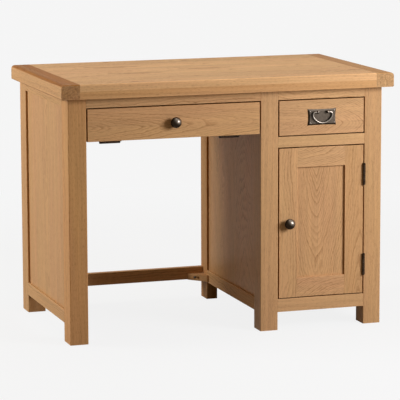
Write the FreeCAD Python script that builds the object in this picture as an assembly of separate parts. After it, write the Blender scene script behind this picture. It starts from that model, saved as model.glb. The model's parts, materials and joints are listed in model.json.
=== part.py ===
"""Oak kneehole desk with one pedestal.

The kneehole has a keyboard tray behind a drop front, and the pedestal has a drawer above a
cupboard door. Sizes are in millimetres. Z is up, the front faces -Y, X runs to the right seen
from the front, and the origin is on the floor under the middle of the top.
"""
import FreeCAD
import Part
import math
import os

Vector = FreeCAD.Vector
X_AXIS = Vector(1, 0, 0)
Y_AXIS = Vector(0, 1, 0)
Z_AXIS = Vector(0, 0, 1)

# Overall sizes
desk_width = 1050.0
desk_depth = 605.0
desk_height = 784.0
pedestal_width = 394.0
side_overhang = 27.0
front_overhang = 30.0

# Top: a field with tongues on its ends, and a grooved board across each end
top_thickness = 44.0
top_end_width = 57.0
top_front_round = 4.5
top_end_upper_round = 11.0
top_end_lower_round = 4.0
top_tongue_thickness = 12.0
top_tongue_length = 20.0
top_tongue_stop = 40.0

# Posts
post_width = 56.0
left_post_depth = 70.0
pedestal_post_depth = 60.0
rear_post_width = 36.0
post_arris = 2.0

# Rails
foot_height = 56.0
bottom_rail_height = 40.0
top_rail_height = 30.0
middle_rail_height = 32.5
drawer_opening_height = 113.0
side_rail_thickness = 28.0
front_rail_thickness = 24.0
ledge_rail_thickness = 40.0
rear_rail_thickness = 24.0
kneehole_rear_rail_height = 60.0
stretcher_rise = 61.5
stretcher_height = 40.0
stretcher_thickness = 20.0
rail_arris = 1.0

# Joinery
tenon_length = 20.0
rear_tenon_length = 12.0
tenon_thickness = 10.0
tenon_shoulder = 6.0
mortise_end_gap = 1.0
joint_fit = 0.1
panel_thickness = 10.0
panel_recess = 7.0
panel_float = 1.0
panel_fit = 0.15
groove_depth = 9.0
back_panel_thickness = 8.0
floor_thickness = 12.0
floor_fit = 0.3

# Corner blocks between the stretcher and the posts
block_along_stretcher = 54.0
block_along_side = 60.0
block_thickness = 20.0
block_tip = 6.0
block_screw_offset = 35.0
block_screw_seat = 12.0
block_pocket_diameter = 9.0
block_screw_diameter = 4.5

# Gap round the door, the drawer front and the drop front, and the rounding of their front edges
reveal = 3.5
front_arris = 1.2

# Door
door_thickness = 20.0
door_stile_width = 60.0
door_rail_height = 60.0
door_panel_thickness = 6.0
door_panel_recess = 7.0
door_tenon_inset = 10.0
door_stop_gap = 1.0
door_knob_inset = 30.0

# Door hinges
door_hinge_length = 65.0
door_hinge_inset = 90.0
door_hinge_barrel_radius = 4.0
door_hinge_pin_radius = 2.0
door_hinge_leaf_thickness = 1.6
door_hinge_leaf_width = 17.0
door_hinge_leaf_gap = 1.5
door_hinge_stand_off = 0.3

# Knuckles of every hinge
knuckle_count = 5
knuckle_gap = 0.4
pin_fit = 0.05
pin_head_height = 1.2
pin_head_overlap = 1.2

# Drop front and its hinges
drop_front_height = 97.0
drop_front_thickness = 20.0
drop_hinge_length = 62.0
drop_hinge_from_left = 77.0
drop_hinge_from_right = 95.0
drop_hinge_barrel_radius = 4.5
drop_hinge_pin_radius = 2.0
drop_hinge_leaf_thickness = 2.0
drop_hinge_leaf_width = 22.0
drop_hinge_leaf_setback = 1.5
drop_hinge_stand_off = 0.7

# Keyboard tray
tray_depth = 430.0
tray_board_thickness = 16.0
tray_side_thickness = 12.0
tray_side_height = 46.0
tray_front_gap = 1.0

# Telescopic runners, three nested channels a side
runner_width = 13.0
runner_height = 35.0
runner_length = 420.0
runner_setback = 6.0
runner_sheet = 1.2
runner_gap = 0.3
batten_height = 48.0

# Drawer
drawer_depth = 400.0
drawer_front_thickness = 20.0
drawer_side_thickness = 12.0
drawer_side_inset = 1.0
drawer_side_drop = 5.0
drawer_back_thickness = 12.0
drawer_back_drop = 4.0
drawer_bottom_thickness = 6.0
drawer_bottom_rise = 8.0
drawer_bottom_groove = 6.0
drawer_bottom_fit = 0.1
tail_count = 3
tail_length = 12.0
tail_width = 20.0
tail_slope_degrees = 9.0
tail_fit = 0.1

# Wooden runners under the drawer
drawer_runner_bearing = 18.0
drawer_runner_thickness = 18.0
drawer_runner_guide = 16.0
drawer_running_gap = 0.3
drawer_guide_gap = 1.0
drawer_stop_gap = 0.5
drawer_stop_length = 15.0
drawer_stop_height = 12.0

# Round knobs
knob_radius = 16.5
knob_projection = 28.0
knob_foot_radius = 9.5
knob_foot_height = 2.0
knob_neck_radius = 6.5
knob_neck_height = 8.0
knob_foot_hollow = 0.8
knob_flare_hollow = 2.2
knob_rim_height = 3.0
knob_dome_height = 11.0

# Plate handle of the drawer
plate_width = 93.0
plate_height = 50.0
plate_edge = 1.2
plate_rise = 2.6
plate_bevel = 4.2
plate_side_hollow = 2.6
plate_end_hollow = 1.2
handle_post_spacing = 32.0
handle_pivot_rise = 15.5
handle_post_foot_radius = 3.9
handle_post_foot_height = 0.9
handle_post_neck_radius = 3.1
handle_post_neck_length = 0.7
handle_ball_radius = 4.8

# Swinging bail of the handle
bail_radius = 2.6
bail_fit = 0.08
bail_end_inset = 3.5
bail_straight = 7.2
bail_shoulder_radius = 8.0
bail_side_radius = 17.0
bail_belly_sag = 8.0


def after(start, size):
    """Span of a given size that starts at a coordinate."""
    return (start, start + size)


def before(end, size):
    """Span of a given size that ends at a coordinate."""
    return (end - size, end)


def inset(span, amount):
    """Span made shorter by an amount at both ends."""
    return (span[0] + amount, span[1] - amount)


# Layout of the frame
half_width = desk_width / 2
half_depth = desk_depth / 2
frame_top = desk_height - top_thickness
frame_x = (-half_width + side_overhang, half_width - side_overhang)
frame_y = (-half_depth + front_overhang, half_depth)
pedestal_x = before(frame_x[1], pedestal_width)

left_post_x = after(frame_x[0], post_width)
left_front_y = after(frame_y[0], left_post_depth)
left_rear_y = before(frame_y[1], left_post_depth)
front_left_x = after(pedestal_x[0], post_width)
front_right_x = before(pedestal_x[1], post_width)
rear_left_x = after(pedestal_x[0], rear_post_width)
rear_right_x = before(pedestal_x[1], rear_post_width)
pedestal_front_y = after(frame_y[0], pedestal_post_depth)
pedestal_rear_y = before(frame_y[1], pedestal_post_depth)

kneehole_x = (left_post_x[1], pedestal_x[0])
front_opening_x = (front_left_x[1], front_right_x[0])
rear_opening_x = (rear_left_x[1], rear_right_x[0])
left_side_y = (left_front_y[1], left_rear_y[0])
pedestal_side_y = (pedestal_front_y[1], pedestal_rear_y[0])

bottom_rail_z = after(foot_height, bottom_rail_height)
top_rail_z = before(frame_top, top_rail_height)
drawer_opening_z = before(top_rail_z[0], drawer_opening_height)
middle_rail_z = before(drawer_opening_z[0], middle_rail_height)
door_opening_z = (bottom_rail_z[1], middle_rail_z[0])
panel_opening_z = (bottom_rail_z[1], top_rail_z[0])
kneehole_rear_rail_z = before(frame_top, kneehole_rear_rail_height)
stretcher_z = after(stretcher_rise, stretcher_height)

front_rail_y = after(frame_y[0], front_rail_thickness)
ledge_rail_y = after(frame_y[0], ledge_rail_thickness)
rear_rail_y = before(frame_y[1], rear_rail_thickness)
stretcher_y = before(frame_y[1], stretcher_thickness)
left_rail_x = after(frame_x[0], side_rail_thickness)
inner_rail_x = after(pedestal_x[0], side_rail_thickness)
right_rail_x = before(pedestal_x[1], side_rail_thickness)

left_panel_x = after(frame_x[0] + panel_recess, panel_thickness)
inner_panel_x = after(pedestal_x[0] + panel_recess, panel_thickness)
right_panel_x = before(pedestal_x[1] - panel_recess, panel_thickness)
back_panel_y = before(frame_y[1] - panel_recess, back_panel_thickness)

# Layout of the door
door_x = inset(front_opening_x, reveal)
door_y = after(frame_y[0], door_thickness)
door_z = inset(door_opening_z, reveal)
lock_stile_x = after(door_x[0], door_stile_width)
hinge_stile_x = before(door_x[1], door_stile_width)
door_inner_x = (lock_stile_x[1], hinge_stile_x[0])
door_bottom_rail_z = after(door_z[0], door_rail_height)
door_top_rail_z = before(door_z[1], door_rail_height)
door_inner_z = (door_bottom_rail_z[1], door_top_rail_z[0])
door_panel_y = after(door_y[0] + door_panel_recess, door_panel_thickness)
door_hinge_axis_x = (door_x[1] + front_opening_x[1]) / 2
door_hinge_axis_y = frame_y[0] - door_hinge_barrel_radius - door_hinge_stand_off
door_hinge_heights = (door_z[0] + door_hinge_inset, door_z[1] - door_hinge_inset)
door_hinge_plate_u = after(door_hinge_barrel_radius + door_hinge_stand_off, door_hinge_leaf_width)
door_hinge_plate_w = after(door_hinge_leaf_gap / 2, door_hinge_leaf_thickness)

# Layout of the drop front and the tray
drop_front_x = inset(kneehole_x, reveal)
drop_front_y = after(frame_y[0], drop_front_thickness)
drop_front_z = before(top_rail_z[0] - reveal, drop_front_height)
tray_x = inset(kneehole_x, runner_width)
tray_y = after(drop_front_y[1] + tray_front_gap, tray_depth)
tray_board_z = after(drop_front_z[0], tray_board_thickness)
tray_side_z = after(tray_board_z[1], tray_side_height)
runner_middle_z = (tray_side_z[0] + tray_side_z[1]) / 2
runner_y = after(tray_y[0] + runner_setback, runner_length)
runner_channel_depth = runner_width - 2 * (runner_sheet + runner_gap)
drop_hinge_axis_y = (drop_front_y[1] + tray_y[0]) / 2
drop_hinge_axis_z = drop_front_z[0] - drop_hinge_barrel_radius - drop_hinge_stand_off
drop_hinge_centres = (kneehole_x[0] + drop_hinge_from_left, kneehole_x[1] - drop_hinge_from_right)
drop_hinge_plate_w = before(drop_front_z[0] - drop_hinge_axis_z, drop_hinge_leaf_thickness)

# Layout of the drawer
drawer_front_x = inset(front_opening_x, reveal)
drawer_front_y = after(frame_y[0], drawer_front_thickness)
drawer_front_z = inset(drawer_opening_z, reveal)
drawer_left_x = after(drawer_front_x[0] + drawer_side_inset, drawer_side_thickness)
drawer_right_x = before(drawer_front_x[1] - drawer_side_inset, drawer_side_thickness)
drawer_inner_x = (drawer_left_x[1], drawer_right_x[0])
drawer_side_y = (drawer_front_y[1], drawer_front_y[0] + drawer_depth)
drawer_side_z = (drawer_front_z[0], drawer_front_z[1] - drawer_side_drop)
drawer_bottom_z = after(drawer_front_z[0] + drawer_bottom_rise, drawer_bottom_thickness)
drawer_back_y = before(drawer_side_y[1], drawer_back_thickness)
drawer_back_z = (drawer_bottom_z[1] + drawer_bottom_fit, drawer_side_z[1] - drawer_back_drop)
handle_x = (drawer_front_x[0] + drawer_front_x[1]) / 2
handle_z = (drawer_front_z[0] + drawer_front_z[1]) / 2
plate_front_y = drawer_front_y[0] - plate_edge - plate_rise
handle_ball_start = handle_post_foot_height + handle_post_neck_length
handle_ball_stand = handle_ball_start + math.sqrt(handle_ball_radius ** 2 - handle_post_neck_radius ** 2)
handle_pivot_y = plate_front_y - handle_ball_stand
handle_pivot_z = handle_z + handle_pivot_rise


def box(x, y, z):
    """Block between three pairs of coordinates."""
    return Part.makeBox(x[1] - x[0], y[1] - y[0], z[1] - z[0], Vector(x[0], y[0], z[0]))


def grow(span, amount):
    """Span made longer by an amount at both ends."""
    return (span[0] - amount, span[1] + amount)


def centred(span, size):
    """Span of a given size in the middle of another."""
    middle = (span[0] + span[1]) / 2
    return (middle - size / 2, middle + size / 2)


def about(middle, size):
    """Span of a given size about a coordinate."""
    return (middle - size / 2, middle + size / 2)


def prism(points, direction):
    """Closed straight-sided outline extruded along a vector."""
    return Part.Face(Part.makePolygon(points + points[:1])).extrude(direction)


def cylinder(radius, start, direction, length):
    """Round bar from a start point."""
    return Part.makeCylinder(radius, length, start, direction)


def turned(edges):
    """Solid of revolution about -Y, from a profile in the XY plane that closes on the axis."""
    profile = Part.Face(Part.Wire(edges))
    return profile.revolve(Vector(0, 0, 0), Y_AXIS, 360)


def line(a, b):
    """Straight edge."""
    return Part.LineSegment(a, b).toShape()


def arc(a, b, c):
    """Circular edge through three points."""
    return Part.Arc(a, b, c).toShape()


def bowed(a, b, bow):
    """Circular edge between two points in the XY plane, bowed to the left of the way from a to b."""
    chord = b - a
    middle = (a + b) / 2 + Vector(-chord.y, chord.x, 0).normalize() * bow
    return arc(a, middle, b)


def eased(block, axis, radius):
    """Block with its edges along an axis rounded."""
    edges = [e for e in block.Edges if abs(e.tangentAt(e.FirstParameter).dot(axis)) > 0.999]
    return block.makeFillet(radius, edges)


def eased_front(block, radius):
    """Block with the edges of its front face rounded."""
    front = min(block.Faces, key=lambda face: face.CenterOfMass.y)
    return block.makeFillet(radius, front.Edges)


class Rail:
    """Rail with a tenon on each end. Length runs from shoulder to shoulder."""

    def __init__(self, along_x, length, depth, height, tenon, tenon_height):
        self.along_x = along_x
        self.length = length
        self.depth = depth
        self.height = height
        self.tenon = tenon
        self.tenon_depth = centred(depth, tenon_thickness)
        self.tenon_height = tenon_height

    def bar(self, length, depth, height):
        """Block that lies along the rail."""
        if self.along_x:
            return box(length, depth, height)
        return box(depth, length, height)

    def solid(self):
        """Eased rail with both tenons."""
        axis = X_AXIS if self.along_x else Y_AXIS
        body = eased(self.bar(self.length, self.depth, self.height), axis, rail_arris)
        tenons = self.bar(grow(self.length, self.tenon), self.tenon_depth, self.tenon_height)
        return body.fuse(tenons).removeSplitter()

    def mortises(self):
        """Room for both tenons in the pieces at the rail's ends."""
        reach = grow(self.length, self.tenon + mortise_end_gap)
        return self.bar(reach, grow(self.tenon_depth, joint_fit), grow(self.tenon_height, joint_fit))


def plain_tenon(height):
    """Tenon height with a shoulder above and below."""
    return inset(height, tenon_shoulder)


def tenon_under_groove(height, shoulder):
    """Tenon height of a rail whose upper edge is grooved for a panel."""
    return (height[0] + shoulder, height[1] - groove_depth - panel_float)


def tenon_over_groove(height, shoulder):
    """Tenon height of a rail whose lower edge is grooved for a panel."""
    return (height[0] + groove_depth + panel_float, height[1] - shoulder)


def side_rails(length, depth):
    """Bottom and top rail of a framed side."""
    low_tenon = tenon_under_groove(bottom_rail_z, tenon_shoulder)
    high_tenon = tenon_over_groove(top_rail_z, tenon_shoulder)
    bottom = Rail(False, length, depth, bottom_rail_z, tenon_length, low_tenon)
    top = Rail(False, length, depth, top_rail_z, tenon_length, high_tenon)
    return bottom, top


def cross_rail(length, depth, height, tenon):
    """Rail along X with a plain tenon on each end."""
    return Rail(True, length, depth, height, tenon, plain_tenon(height))


def panel_in_frame(x, y, z, thin_axis):
    """Panel that reaches into grooves round an opening, and the room that the grooves give it."""
    reach = groove_depth - panel_float
    panel_spans = []
    groove_spans = []
    for index, span in enumerate((x, y, z)):
        if index == thin_axis:
            panel_spans.append(span)
            groove_spans.append(grow(span, panel_fit))
        else:
            panel_spans.append(grow(span, reach))
            groove_spans.append(grow(span, groove_depth))
    return box(*panel_spans), box(*groove_spans)


def post(x, y, cuts):
    """Square post from the floor to the top, with its mortises and grooves."""
    return eased(box(x, y, (0.0, frame_top)), Z_AXIS, post_arris).cut(cuts)


def top_board(x):
    """Board across a span of X as thick and deep as the top, rounded along its front upper edge."""
    front = -half_depth
    round_start = desk_height - top_front_round
    bulge = top_front_round * (1 - math.sqrt(0.5))

    def at(y, z):
        return Vector(x[0], y, z)

    edges = [
        line(at(half_depth, frame_top), at(front, frame_top)),
        line(at(front, frame_top), at(front, round_start)),
        arc(
            at(front, round_start),
            at(front + bulge, desk_height - bulge),
            at(front + top_front_round, desk_height),
        ),
        line(at(front + top_front_round, desk_height), at(half_depth, desk_height)),
        line(at(half_depth, desk_height), at(half_depth, frame_top)),
    ]
    return Part.Face(Part.Wire(edges)).extrude(Vector(x[1] - x[0], 0, 0))


def top_panel():
    """Field of the top, with a stopped tongue on each end."""
    field_x = (-half_width + top_end_width, half_width - top_end_width)
    tongue = box(grow(field_x, top_tongue_length), *top_tongue_section())
    return top_board(field_x).fuse(tongue).removeSplitter()


def top_tongue_section():
    """Extent of the tongue from front to back, and its height."""
    along = (-half_depth + top_tongue_stop, half_depth - top_tongue_stop)
    return along, centred((frame_top, desk_height), top_tongue_thickness)


def top_end(side):
    """Board across one end of the top, rounded along its outer edge and grooved for the tongue."""
    inner = side * (half_width - top_end_width)
    outer = side * half_width
    high = desk_height - top_end_upper_round
    low = frame_top + top_end_lower_round
    upper_bulge = top_end_upper_round * (1 - math.sqrt(0.5))
    lower_bulge = top_end_lower_round * (1 - math.sqrt(0.5))

    def at(x, z):
        return Vector(x, -half_depth, z)

    edges = [
        line(at(inner, frame_top), at(outer - side * top_end_lower_round, frame_top)),
        arc(
            at(outer - side * top_end_lower_round, frame_top),
            at(outer - side * lower_bulge, frame_top + lower_bulge),
            at(outer, low),
        ),
        line(at(outer, low), at(outer, high)),
        arc(
            at(outer, high),
            at(outer - side * upper_bulge, desk_height - upper_bulge),
            at(outer - side * top_end_upper_round, desk_height),
        ),
        line(at(outer - side * top_end_upper_round, desk_height), at(inner, desk_height)),
        line(at(inner, desk_height), at(inner, frame_top)),
    ]
    board = Part.Face(Part.Wire(edges)).extrude(Vector(0, desk_depth, 0))
    board = board.common(top_board(sorted((inner, outer)))).removeSplitter()
    along, height = top_tongue_section()
    depth = sorted((inner, inner + side * (top_tongue_length + mortise_end_gap)))
    return board.cut(box(depth, grow(along, joint_fit), grow(height, joint_fit)))


def stretcher_block(corner_x, side):
    """Three-cornered block screwed to the stretcher and to the post or rail beside it."""
    corner_y = stretcher_y[0]
    low = stretcher_z[0]

    def at(along, back):
        return Vector(corner_x - side * along, corner_y - back, low)

    outline = [
        at(0, 0),
        at(block_along_stretcher, 0),
        at(block_along_stretcher, block_tip),
        at(block_tip, block_along_side),
        at(0, block_along_side),
    ]
    block = prism(outline, Vector(0, 0, block_thickness))
    lift = Vector(0, 0, block_thickness / 2)
    to_stretcher = at(block_screw_offset, block_along_side) + lift
    to_side = at(block_along_stretcher, block_screw_offset) + lift
    sideways = Vector(side, 0, 0)
    holes = [
        cylinder(block_pocket_diameter / 2, to_stretcher, Y_AXIS, block_along_side - block_screw_seat),
        cylinder(block_screw_diameter / 2, to_stretcher, Y_AXIS, block_along_side),
        cylinder(block_pocket_diameter / 2, to_side, sideways, block_along_stretcher - block_screw_seat),
        cylinder(block_screw_diameter / 2, to_side, sideways, block_along_stretcher),
    ]
    return block.cut(holes)


def hinge_leaf(length, barrel_radius, pin_radius, owned, plate_u, plate_w):
    """Hinge leaf about the Z axis: a plate beside the barrel, and every second knuckle."""
    pitch = length / knuckle_count
    near = min(plate_u, key=abs)
    leaf = box(plate_u, plate_w, about(0, length))
    for index in owned:
        start = -length / 2 + index * pitch + knuckle_gap / 2
        knuckle = cylinder(barrel_radius, Vector(0, 0, start), Z_AXIS, pitch - knuckle_gap)
        web = box((min(0, near), max(0, near)), plate_w, (start, start + pitch - knuckle_gap))
        leaf = leaf.fuse([knuckle, web])
    bore = cylinder(pin_radius + pin_fit, Vector(0, 0, -length), Z_AXIS, 2 * length)
    return leaf.cut(bore).removeSplitter()


def hinge_pin(length, pin_radius):
    """Hinge pin along Z with a flat head at each end."""
    pin = cylinder(pin_radius, Vector(0, 0, -length / 2), Z_AXIS, length)
    head_radius = pin_radius + pin_head_overlap
    top = cylinder(head_radius, Vector(0, 0, length / 2), Z_AXIS, pin_head_height)
    foot = cylinder(head_radius, Vector(0, 0, -length / 2), -Z_AXIS, pin_head_height)
    return pin.fuse([top, foot]).removeSplitter()


def outer_knuckles():
    """Knuckles of the leaf that holds the pin."""
    return range(0, knuckle_count, 2)


def inner_knuckles():
    """Knuckles of the other leaf."""
    return range(1, knuckle_count, 2)


def placed(shape, base, rotation):
    """Copy of a shape set at a place in the desk."""
    copy = shape.copy()
    copy.Placement = FreeCAD.Placement(base, rotation)
    return copy


def at_door_hinges(shape):
    """One copy of a shape at each door hinge, with its plate pointing back into the gap."""
    turn = FreeCAD.Rotation(Z_AXIS, 90)
    return Part.makeCompound(
        [placed(shape, Vector(door_hinge_axis_x, door_hinge_axis_y, z), turn) for z in door_hinge_heights]
    )


def at_drop_hinges(shape):
    """One copy of a shape at each hinge of the drop front, with the barrel along X."""
    turn = FreeCAD.Rotation(Vector(1, 1, 1), 120)
    return Part.makeCompound(
        [placed(shape, Vector(x, drop_hinge_axis_y, drop_hinge_axis_z), turn) for x in drop_hinge_centres]
    )


def door_hinge_leaf(owned, plate_w):
    """Leaf of a door hinge."""
    length = door_hinge_length
    barrel = door_hinge_barrel_radius
    return hinge_leaf(length, barrel, door_hinge_pin_radius, owned, door_hinge_plate_u, plate_w)


def drop_hinge_leaf(owned, plate_u):
    """Leaf of a hinge under the drop front."""
    length = drop_hinge_length
    barrel = drop_hinge_barrel_radius
    return hinge_leaf(length, barrel, drop_hinge_pin_radius, owned, plate_u, drop_hinge_plate_w)


def door_hinge_recesses(side):
    """Shallow beds for the hinge plates, in the stile (side -1) or in the post (side 1)."""
    near = door_hinge_axis_x + side * door_hinge_plate_w[0]
    far = door_hinge_axis_x + side * door_hinge_plate_w[1]
    depth = grow(sorted((near, far)), joint_fit)
    start = door_hinge_axis_y + door_hinge_plate_u[0]
    back = grow((start, start + door_hinge_leaf_width), joint_fit)
    bed = door_hinge_length + 2 * joint_fit
    return [box(depth, back, about(z, bed)) for z in door_hinge_heights]


def knob(x, z):
    """Turned knob with a domed head, set on a front."""
    rim_end = knob_projection - knob_dome_height
    rim_start = rim_end - knob_rim_height
    foot = Vector(knob_foot_radius, -knob_foot_height, 0)
    neck = Vector(knob_neck_radius, -knob_neck_height, 0)
    rim_back = Vector(knob_radius, -rim_start, 0)
    rim_front = Vector(knob_radius, -rim_end, 0)
    crown = Vector(0, -knob_projection, 0)
    dome_radius = (knob_radius ** 2 + knob_dome_height ** 2) / (2 * knob_dome_height)
    dome_chord = math.hypot(knob_radius, knob_dome_height)
    dome_bow = dome_radius - math.sqrt(dome_radius ** 2 - dome_chord ** 2 / 4)
    profile = [
        line(Vector(0, 0, 0), Vector(knob_foot_radius, 0, 0)),
        line(Vector(knob_foot_radius, 0, 0), foot),
        bowed(foot, neck, -knob_foot_hollow),
        bowed(neck, rim_back, -knob_flare_hollow),
        line(rim_back, rim_front),
        bowed(rim_front, crown, dome_bow),
        line(crown, Vector(0, 0, 0)),
    ]
    return placed(turned(profile), Vector(x, frame_y[0], z), FreeCAD.Rotation())


def plate_outline(width, height, y):
    """Wire of four hollow arcs, the outline of the handle's plate at one depth."""
    left, right = about(handle_x, width)
    low, high = about(handle_z, height)
    corners = [Vector(left, y, low), Vector(right, y, low), Vector(right, y, high), Vector(left, y, high)]
    bottom = Vector(handle_x, y, low + plate_end_hollow)
    right_side = Vector(right - plate_side_hollow, y, handle_z)
    top = Vector(handle_x, y, high - plate_end_hollow)
    left_side = Vector(left + plate_side_hollow, y, handle_z)
    return Part.Wire(
        [
            arc(corners[0], bottom, corners[1]),
            arc(corners[1], right_side, corners[2]),
            arc(corners[2], top, corners[3]),
            arc(corners[3], left_side, corners[0]),
        ]
    )


def handle_plate():
    """Plate with hollow sides, flared corners and a broad bevel round its face."""
    face_y = drawer_front_y[0]
    outer = plate_outline(plate_width, plate_height, face_y)
    edge = Part.Face(outer).extrude(Vector(0, -plate_edge, 0))
    lower = plate_outline(plate_width, plate_height, face_y - plate_edge)
    upper = plate_outline(plate_width - 2 * plate_bevel, plate_height - 2 * plate_bevel, plate_front_y)
    return edge.fuse(Part.makeLoft([lower, upper], True, True)).removeSplitter()


def handle_post(side):
    """Turned post with a ball head, drilled along X for the bail."""
    neck_start = Vector(handle_post_neck_radius, -handle_post_foot_height, 0)
    neck_end = Vector(handle_post_neck_radius, -handle_ball_start, 0)
    crown = Vector(0, -handle_ball_stand - handle_ball_radius, 0)
    profile = [
        line(Vector(0, 0, 0), Vector(handle_post_foot_radius, 0, 0)),
        line(Vector(handle_post_foot_radius, 0, 0), neck_start),
        line(neck_start, neck_end),
        arc(neck_end, Vector(handle_ball_radius, -handle_ball_stand, 0), crown),
        line(crown, Vector(0, 0, 0)),
    ]
    start = Vector(-2 * handle_ball_radius, -handle_ball_stand, 0)
    drilled = turned(profile).cut(cylinder(bail_radius + bail_fit, start, X_AXIS, 4 * handle_ball_radius))
    base = Vector(handle_x + side * handle_post_spacing / 2, plate_front_y, handle_pivot_z)
    return placed(drilled, base, FreeCAD.Rotation())


def handle_bail():
    """Bail swept along straight ends, shoulder arcs and an oval belly of two radii."""
    end = handle_post_spacing / 2 - bail_end_inset
    bend = handle_post_spacing / 2 + bail_straight
    half = bend + bail_shoulder_radius
    side_top = -bail_shoulder_radius
    side_centre = half - bail_side_radius
    lowest = side_top - bail_side_radius - bail_belly_sag
    belly_radius = bail_side_radius + (side_centre ** 2 + bail_belly_sag ** 2) / (2 * bail_belly_sag)
    belly_centre = lowest + belly_radius
    meet = math.atan2(belly_centre - side_top, side_centre)
    diagonal = math.sqrt(0.5)

    def at(x, z):
        return Vector(handle_x + x, handle_pivot_y, handle_pivot_z + z)

    def on_side(mirror, angle):
        return at(
            mirror * (side_centre + bail_side_radius * math.cos(angle)),
            side_top - bail_side_radius * math.sin(angle),
        )

    def shoulder(mirror):
        return at(
            mirror * (bend + bail_shoulder_radius * diagonal),
            side_top + bail_shoulder_radius * diagonal,
        )

    path = [
        line(at(-end, 0), at(-bend, 0)),
        arc(at(-bend, 0), shoulder(-1), at(-half, side_top)),
        arc(at(-half, side_top), on_side(-1, meet / 2), on_side(-1, meet)),
        arc(on_side(-1, meet), at(0, lowest), on_side(1, meet)),
        arc(on_side(1, meet), on_side(1, meet / 2), at(half, side_top)),
        arc(at(half, side_top), shoulder(1), at(bend, 0)),
        line(at(bend, 0), at(end, 0)),
    ]
    section = Part.Wire(Part.makeCircle(bail_radius, at(-end, 0), X_AXIS))
    return Part.Wire(path).makePipeShell([section], True, False)


def drawer_tails(clearance):
    """Side view of the dovetails at the front of a drawer side, wider by a clearance."""
    pitch = (drawer_side_z[1] - drawer_side_z[0]) / tail_count
    flare = tail_length * math.tan(math.radians(tail_slope_degrees))
    root = drawer_front_y[1]
    tip = root - tail_length - clearance
    outlines = []
    for index in range(tail_count):
        middle = drawer_side_z[0] + (index + 0.5) * pitch
        narrow = tail_width / 2 + clearance
        wide = narrow + flare
        outlines.append(
            [(root, middle - narrow), (tip, middle - wide), (tip, middle + wide), (root, middle + narrow)]
        )
    return outlines


def drawer_tail_solids(x, clearance):
    """Dovetails across a span of X."""
    return [
        prism([Vector(x[0], y, z) for y, z in outline], Vector(x[1] - x[0], 0, 0))
        for outline in drawer_tails(clearance)
    ]


def drawer_bottom_room():
    """Groove round the drawer for its bottom."""
    depth = drawer_bottom_groove + drawer_bottom_fit
    y = (drawer_front_y[1] - depth, drawer_side_y[1] + depth)
    return box(grow(drawer_inner_x, depth), y, grow(drawer_bottom_z, drawer_bottom_fit))


def drawer_front():
    """Drawer front with lapped dovetail sockets and a groove for the bottom."""
    front = eased_front(box(drawer_front_x, drawer_front_y, drawer_front_z), front_arris)
    left = (drawer_front_x[0] - reveal, drawer_left_x[1] + tail_fit)
    right = (drawer_right_x[0] - tail_fit, drawer_front_x[1] + reveal)
    sockets = drawer_tail_solids(left, tail_fit) + drawer_tail_solids(right, tail_fit)
    return front.cut(sockets + [drawer_bottom_room()])


def drawer_side(x):
    """Drawer side with dovetails at the front, a groove for the bottom and a housing for the back."""
    side = box(x, drawer_side_y, drawer_side_z).fuse(drawer_tail_solids(x, 0)).removeSplitter()
    return side.cut([drawer_bottom_room(), drawer_back_board(joint_fit)])


def drawer_back_board(clearance):
    """Back of the drawer, let half way into both sides."""
    x = grow(drawer_inner_x, drawer_side_thickness / 2 + clearance)
    return box(x, grow(drawer_back_y, clearance), (drawer_back_z[0], drawer_back_z[1] + clearance))


def drawer_bottom():
    """Thin board in the grooves of the front and the sides, passing under the back."""
    x = grow(drawer_inner_x, drawer_bottom_groove)
    y = (drawer_front_y[1] - drawer_bottom_groove, drawer_side_y[1])
    return box(x, y, drawer_bottom_z)


def drawer_runner(panel_face, side_face, side):
    """L-shaped bar between the posts: a bearing under the drawer side, a guide and an end stop."""
    top = drawer_side_z[0] - drawer_running_gap
    guide = side_face - side * drawer_guide_gap
    inner = guide + side * (drawer_guide_gap + drawer_runner_bearing)
    start = pedestal_side_y[0]
    outline = [
        Vector(panel_face, start, top - drawer_runner_thickness),
        Vector(inner, start, top - drawer_runner_thickness),
        Vector(inner, start, top),
        Vector(guide, start, top),
        Vector(guide, start, top + drawer_runner_guide),
        Vector(panel_face, start, top + drawer_runner_guide),
    ]
    bar = prism(outline, Vector(0, pedestal_side_y[1] - start, 0))
    stop_y = after(drawer_side_y[1] + drawer_stop_gap, drawer_stop_length)
    stop = box(sorted((guide, inner)), stop_y, after(top, drawer_stop_height))
    return bar.fuse(stop).removeSplitter()


def runner_channel(wall, side, web, height):
    """One runner member: a channel with its web at one face, open towards or away from the tray."""
    web_x, open_x = web
    spans = sorted((wall + side * web_x, wall + side * open_x))
    channel = box(spans, runner_y, about(runner_middle_z, height))
    shift = side * math.copysign(runner_sheet, open_x - web_x)
    hollow = (spans[0] + shift, spans[1] + shift)
    inside = about(runner_middle_z, height - 2 * runner_sheet)
    return channel.cut(box(hollow, grow(runner_y, runner_sheet), inside))


def runner_pair(web, step):
    """The same runner member at both sides of the kneehole, nested a number of steps deep."""
    height = runner_height - 2 * step * (runner_sheet + runner_gap)
    left = runner_channel(kneehole_x[0], 1, web, height)
    right = runner_channel(kneehole_x[1], -1, web, height)
    return Part.makeCompound([left, right])


def runner_battens():
    """Packing between the posts that carries the fixed runner members flush with the posts."""
    height = about(runner_middle_z, batten_height)
    left = box((left_panel_x[1], kneehole_x[0]), left_side_y, height)
    right = box((kneehole_x[1], inner_panel_x[0]), pedestal_side_y, height)
    return Part.makeCompound([left, right])


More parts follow.
